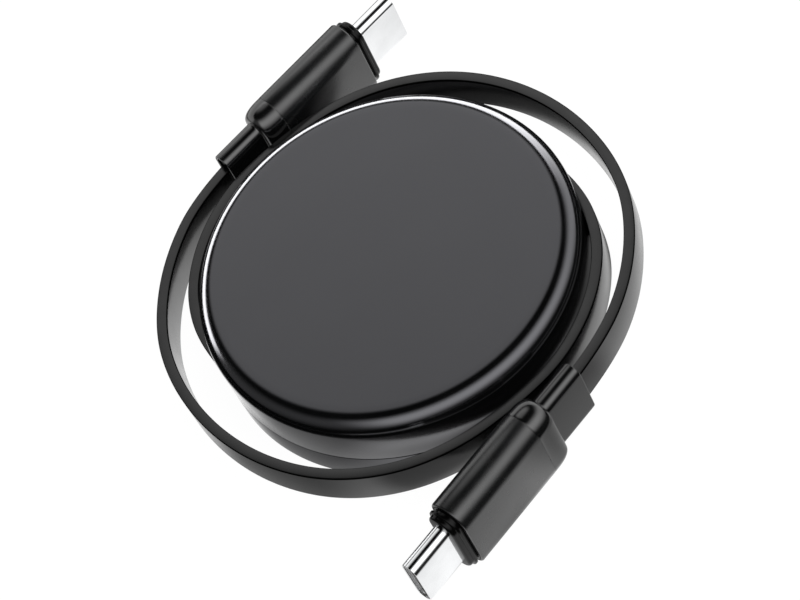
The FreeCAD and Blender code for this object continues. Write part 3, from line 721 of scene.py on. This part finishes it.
def make_finishes():
    return {
        "housing": make_finish("satin_black_housing", (grey(0.0015, 0.04), grey(0.0025, 0.04), 90),
                               (0.11, 0.14, 260), (9000, 0.000004), Specular_IOR_Level=1.0,
                               Specular_Tint=(0.94, 0.94, 1.0, 1.0)),
        # The ribbon carries a painted dark band along its top edge.
        "ribbon": make_finish("black_ribbon_jacket", (grey(0.0015, 0.03), grey(0.0025, 0.03), 160),
                              (0.18, 0.22, 420), (5000, 0.000003), RIBBON_PAINTED_DARK_BAND,
                              Specular_IOR_Level=0.7),
        "plug_sleeve": make_finish("satin_black_sleeve", (grey(0.003, 0.05), grey(0.005, 0.05), 150),
                                   (0.22, 0.28, 380), (8000, 0.000003), Specular_IOR_Level=0.8),
        "plug_boot": make_finish("black_boot_rubber", (grey(0.002, 0.04), grey(0.003, 0.04), 150),
                                 (0.13, 0.18, 380), (7000, 0.000003), Specular_IOR_Level=0.9),
        "plug_core": make_finish("gloss_black_nose", (grey(0.001), grey(0.002), 200), (0.12, 0.16, 500),
                                 Specular_IOR_Level=0.12),
        "plug_metal": make_finish("bright_nickel_shell", (grey(0.84, 0.01), grey(0.9, 0.01), 300),
                                  (0.1, 0.14, 700), Metallic=1.0),
        "contact_block": make_finish("grey_contact_block", (grey(0.2), grey(0.25), 800), (0.4, 0.5, 1500)),
        "contact_gold": make_finish("gold_contacts", ((0.86, 0.62, 0.24, 1), (0.92, 0.7, 0.3, 1), 1500),
                                    (0.2, 0.28, 2000), Metallic=1.0),
        "circuit_card": make_finish("green_card", ((0.01, 0.09, 0.035, 1), (0.015, 0.12, 0.05, 1), 900),
                                    (0.3, 0.4, 1500)),
        "spring_steel": make_finish("rolled_spring_steel", (grey(0.5), grey(0.58), 600), (0.22, 0.32, 1200),
                                    Metallic=1.0),
        "inner_plastic": make_finish("white_acetal", (grey(0.68), grey(0.74), 120), (0.38, 0.46, 300),
                                     (4000, 0.000004)),
    }


# Studio

# Soft card across from the camera, and an arc of light round it. Edges are angles from the card's middle.
# ARC_LOW and ARC_LEFT are places round the arc, from -1 at the bottom or the left to 1.
CARD_WAY = Vector((0.0, math.cos(CAMERA_ELEVATION), math.sin(CAMERA_ELEVATION)))
CARD_RISE = Vector((0.0, -math.sin(CAMERA_ELEVATION), math.cos(CAMERA_ELEVATION)))
CARD_LEVEL = 1.2
CARD_EDGE = (math.radians(8), math.radians(25))
CARD_FALL = 2.0
CARD_LEAN = 1.2
ARC_LEVEL = 2.1
ARC_GAIN = 0.8
ARC_LIFT = math.radians(15)
ARC_INNER = (math.radians(30), math.radians(62))
ARC_OUTER = (math.radians(68), math.radians(106))
ARC_LOW = (-1.0, -0.45)
ARC_LEFT = (-0.8, -0.45)
ARC_LEFT_SHARE = 0.15

# Strips of light. Their fades are shares of the radius, from the left to the right.
RIM_STRIP = {"level": 9.5, "radius": 80.0 * MM, "low": 14.0 * MM, "high": 62.0 * MM, "slope": 22.0 * MM}
PLUG_STRIP = {"level": 1.1, "radius": 100.0 * MM, "low": 0.5 * MM, "high": 84.0 * MM, "slope": 0.0}
STRIP_STEPS = 96
STRIP_BLEND = 8.0 * MM
STRIP_SLOPE = (0.3, 0.9)
STRIP_RIGHT = (0.65, 0.98)
STRIP_LEFT = (-0.93, -0.85)

# Floor, and where it is white to the object's gloss. Centres are in mm.
FLOOR_SIZE = 4.0
FLOOR_DROP = 0.03 * MM
FLOOR_WHITE = 1.05
FLOOR_PAINT = 0.8
FLOOR_GLOSS = 0.9
# Painted light: near the object's foot, where real shade would fall, the floor glows brighter to the
# object's gloss. The gain, reach and samples of that glow follow.
FOOT_GLOSS = 0.6
FOOT_REACH = 9.0 * MM
FOOT_SAMPLES = 8
SHADOW_SHARE = 0.92
NEAR_CENTRE = (-12.0, 4.0)
NEAR_EDGE = (50.0 * MM, 60.0 * MM)
NEAR_REST = 0.02
NEAR_LEFT = (-44.0 * MM, -38.0 * MM)
# Painted shade: right of LEFT_EDGE and inside OUTER_EDGE round the housing, the floor's glow drops to
# INNER_LEVELS, darkest on the right, in the gaps where shadow falls.
LEFT_EDGE = (-20.0 * MM, -10.0 * MM)
INNER_EDGE = (-10.0 * MM, 2.0 * MM)
INNER_LEVELS = (0.6, 0.08)
OUTER_EDGE = (27.0 * MM, 29.0 * MM)
# Painted shade: soft dark patches in the floor's glow, at places that the object's surfaces see in
# reflection. The front patch starts beyond FRONT_START.
FRONT_START = (30.0 * MM, 31.5 * MM)
FRONT_PAINTED_SHADE = {"centre": (-9.0, -33.3), "edge": (4.0 * MM, 8.0 * MM), "dim": 0.65, "spread": 1.8}
CORNER_PAINTED_SHADE = {"centre": (-27.0, -16.0), "edge": (6.0 * MM, 18.0 * MM), "dim": 0.66}
NECK_PAINTED_SHADE = {"centre": (15.0, -32.0), "edge": (5.0 * MM, 11.0 * MM), "dim": 0.5}

LAMP_PLACE = Vector((0.12, -0.1, 0.5))
LAMP_SIZE = 0.4
LAMP_POWER = 1.2


def make_world():
    """White behind the object. Its surfaces see a soft card and a wide soft arc of light."""
    world = bpy.data.worlds.new("studio")
    bpy.context.scene.world = world
    studio = Finish(world)
    way = studio.add("ShaderNodeTexCoord")

    def along(axis):
        dot = studio.add("ShaderNodeVectorMath", {"operation": "DOT_PRODUCT"}, {0: way, 1: axis})
        return dot.out("Value")

    across = along(Vector((1.0, 0.0, 0.0)))
    rise = along(CARD_RISE)
    away = studio.add("ShaderNodeMath", {"operation": "ARCCOSINE"}, {0: along(CARD_WAY)})
    reach = studio.add("ShaderNodeMath", {"operation": "SINE"}, {0: away})
    tilt = rise / reach
    side = across / reach
    card = studio.step(away, *CARD_EDGE, CARD_LEVEL, 0.0) * (1 - rise * CARD_FALL + across * CARD_LEAN)
    lift = studio.step(tilt, 0.0, 1.0)
    turned = away - lift * ARC_LIFT
    arc = studio.step(turned, *ARC_INNER)
    fade = studio.step(turned, *ARC_OUTER, 1.0, 0.0)
    left = studio.step(side, *ARC_LEFT, ARC_LEFT_SHARE, 1.0)
    level = (ARC_LEVEL + lift * ARC_GAIN) * studio.step(tilt, *ARC_LOW) * left
    ray = studio.add("ShaderNodeLightPath")
    camera = ray.out("Is Camera Ray")
    strength = camera + (1 - camera) * (card + arc * fade * level)
    shade = studio.add("ShaderNodeBackground", {}, {"Strength": strength})
    studio.add("ShaderNodeOutputWorld", {}, {"Surface": shade})


def make_strip(name, level, radius, low, high, slope, receivers):
    """A curved strip of light behind the object that lights some pieces and fades out at its ends.

    Its top edge drops by the slope from the right to the left.
    """
    bpy.ops.mesh.primitive_cylinder_add(vertices=STRIP_STEPS, radius=radius, depth=high - low,
                                        end_fill_type="NOTHING", location=(0, 0, (low + high) / 2))
    strip = take(name)
    edit(strip)
    pick(strip, "FACE", lambda f: f.calc_center_median().y < 0)
    bpy.ops.mesh.delete(type="FACE")
    leave()
    material = bpy.data.materials.new(name)
    finish = Finish(material)
    place = finish.add("ShaderNodeTexCoord").out("Object")
    parts = finish.add("ShaderNodeSeparateXYZ", {}, {0: place})
    across = parts.out("X") / radius
    over = parts.out("Z") + finish.step(across, *STRIP_SLOPE, slope, 0.0)
    top = finish.step(over, high - STRIP_BLEND, high, 1.0, 0.0)
    right = finish.step(across, *STRIP_RIGHT, 1.0, 0.0)
    left = finish.step(across, *STRIP_LEFT)
    glow = finish.add("ShaderNodeEmission", {}, {"Strength": right * left * top * level})
    clear = finish.add("ShaderNodeBsdfTransparent")
    both = finish.add("ShaderNodeAddShader", {}, {0: glow, 1: clear})
    finish.add("ShaderNodeOutputMaterial", {}, {"Surface": both})
    strip.data.materials.append(material)
    strip.visible_camera = False
    strip.visible_shadow = False
    strip.light_linking.receiver_collection = bpy.data.collections.new(name)
    for piece in receivers:
        strip.light_linking.receiver_collection.objects.link(piece)


def make_floor():
    """A pale floor that is white to the camera and keeps a light shadow of the object."""
    bpy.ops.mesh.primitive_plane_add(size=FLOOR_SIZE, location=(0, 0, -FLOOR_DROP))
    floor = take("floor")
    material = bpy.data.materials.new("pale_floor")
    finish = Finish(material)
    place = finish.add("ShaderNodeTexCoord").out("Object")

    def distance(x, y, spread=1.0):
        """The distance to a point, shorter along X by the spread."""
        shrink = {0: place, 1: (1 / spread, 1, 1)}
        pulled = finish.add("ShaderNodeVectorMath", {"operation": "MULTIPLY"}, shrink)
        ends = {0: pulled, 1: (x * MM / spread, y * MM, 0)}
        return finish.add("ShaderNodeVectorMath", {"operation": "DISTANCE"}, ends).out("Value")

    def painted_shade_patch(centre, edge, dim, spread=1.0):
        """The share of the floor's glow that a soft patch of painted shade takes."""
        return finish.step(distance(*centre, spread), *edge, dim, 0.0)

    across = finish.add("ShaderNodeSeparateXYZ", {}, {0: place}).out("X")
    middle = distance(0, 0)
    near = finish.step(distance(*NEAR_CENTRE), *NEAR_EDGE, 1.0, NEAR_REST) * finish.step(across, *NEAR_LEFT)
    # Painted shade: the floor's glow is dimmed in the gaps round the housing, more to the right.
    left = finish.step(across, *LEFT_EDGE, 1.0, 0.0)
    inner = finish.step(across, *INNER_EDGE, *INNER_LEVELS)
    outer = inner + (1 - inner) * finish.step(middle, *OUTER_EDGE)
    # Painted shade in the floor's glow: the three soft dark patches.
    front = painted_shade_patch(**FRONT_PAINTED_SHADE) * finish.step(middle, *FRONT_START)
    kept = (1 - front) * (1 - painted_shade_patch(**CORNER_PAINTED_SHADE)) * (1 - painted_shade_patch(**NECK_PAINTED_SHADE))
    # Painted light: the less open the floor is near the object, the brighter its glow in reflections.
    nearby = finish.add("ShaderNodeAmbientOcclusion", {"samples": FOOT_SAMPLES}, {"Distance": FOOT_REACH})
    foot = 1 - nearby.out("AO")
    ray = finish.add("ShaderNodeLightPath")
    camera = ray.out("Is Camera Ray")
    mirrored = ray.out("Is Glossy Ray") + ray.out("Is Transmission Ray")
    bright = near * kept * (left + (1 - left) * outer) * (FLOOR_GLOSS + foot * FOOT_GLOSS)
    glow = finish.add("ShaderNodeEmission", {}, {"Strength": camera * FLOOR_WHITE + mirrored * bright})
    paint = finish.add("ShaderNodeBsdfDiffuse", {}, {"Color": grey(FLOOR_PAINT)})
    share = camera * SHADOW_SHARE + mirrored
    mixed = finish.add("ShaderNodeMixShader", {}, {0: share, 1: paint, 2: glow})
    finish.add("ShaderNodeOutputMaterial", {}, {"Surface": mixed})
    floor.data.materials.append(material)


def make_lamp():
    bpy.ops.object.light_add(type="AREA", location=LAMP_PLACE)
    lamp = bpy.context.object
    lamp.rotation_euler = LAMP_PLACE.to_track_quat("Z", "Y").to_euler()
    lamp.data.size = LAMP_SIZE
    lamp.data.energy = LAMP_POWER
    lamp.visible_glossy = False


# Putting it together

def dress(piece, slot, finishes, nodes, body="housing"):
    """Give a piece its finish, hide the nodes that it stands for and attach it to the body that carries it.
    """
    piece.data.materials.clear()
    piece.data.materials.append(finishes[slot])
    if nodes:
        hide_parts(*nodes)
    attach(piece, body)


make_camera()
finishes = make_finishes()

slots = {row["node"]: row["material_slot"] for row in frame["record"]["subparts"]}
for node, solid in frame["nodes"].items():
    solid.data.materials.clear()
    solid.data.materials.append(finishes[slots[node]])

plug_skins = {"sleeve": make_sleeve(), "boot": make_boot(), "core": make_core(), "shell": make_shell(),
              "contact_block": make_block()}
plug_slots = {"sleeve": "plug_sleeve", "boot": "plug_boot", "core": "plug_core", "shell": "plug_metal",
              "contact_block": "contact_block"}
plug_pieces = []
for side in ("a", "b"):
    ribbon, path = sweep_strip("ribbon_%s_strip" % side, route_points(side), RIBBON_FINENESS,
                               RIBBON_THICKNESS)
    dress(ribbon, "ribbon", finishes, ["ribbon_" + side])
    riders = ["plug_%s_%s" % (side, part)
              for part in ("upper_contacts", "lower_contacts", "latch", "card")]
    for part, drawn in plug_skins.items():
        skin = place_copy(drawn, side, part)
        dress(skin, plug_slots[part], finishes, ["plug_%s_%s" % (side, part)])
        riders.append(skin)
        plug_pieces.append(skin)
for drawn in plug_skins.values():
    bpy.data.objects.remove(drawn)

covers = [make_top_cover(), make_bottom_cover()]
for cover, node in zip(covers, ("top_cover", "bottom_cover")):
    dress(cover, "housing", finishes, [node])
coil_line = coil_points(COIL_INNER, COIL_OUTER, -COIL_TURNS, RIBBON_LEVEL)
coil, _ = sweep_strip("ribbon_coil", coil_line, COIL_FINENESS, COIL_THICKNESS)
dress(coil, "ribbon", finishes, ["wound_ribbon"], body="spool")
dress(make_mainspring(), "spring_steel", finishes, ["mainspring"], body="spool")
spring_tab = spring_leaf("mainspring_tab", TAB_INNER, TAB_OUTER, -SPRING_THICKNESS, 0)
dress(spring_tab, "spring_steel", finishes, [])

make_floor()
make_strip("rim_strip", receivers=covers, **RIM_STRIP)
make_strip("plug_strip", receivers=plug_pieces, **PLUG_STRIP)
make_lamp()
make_world()
bpy.context.scene.view_settings.view_transform = "Standard"
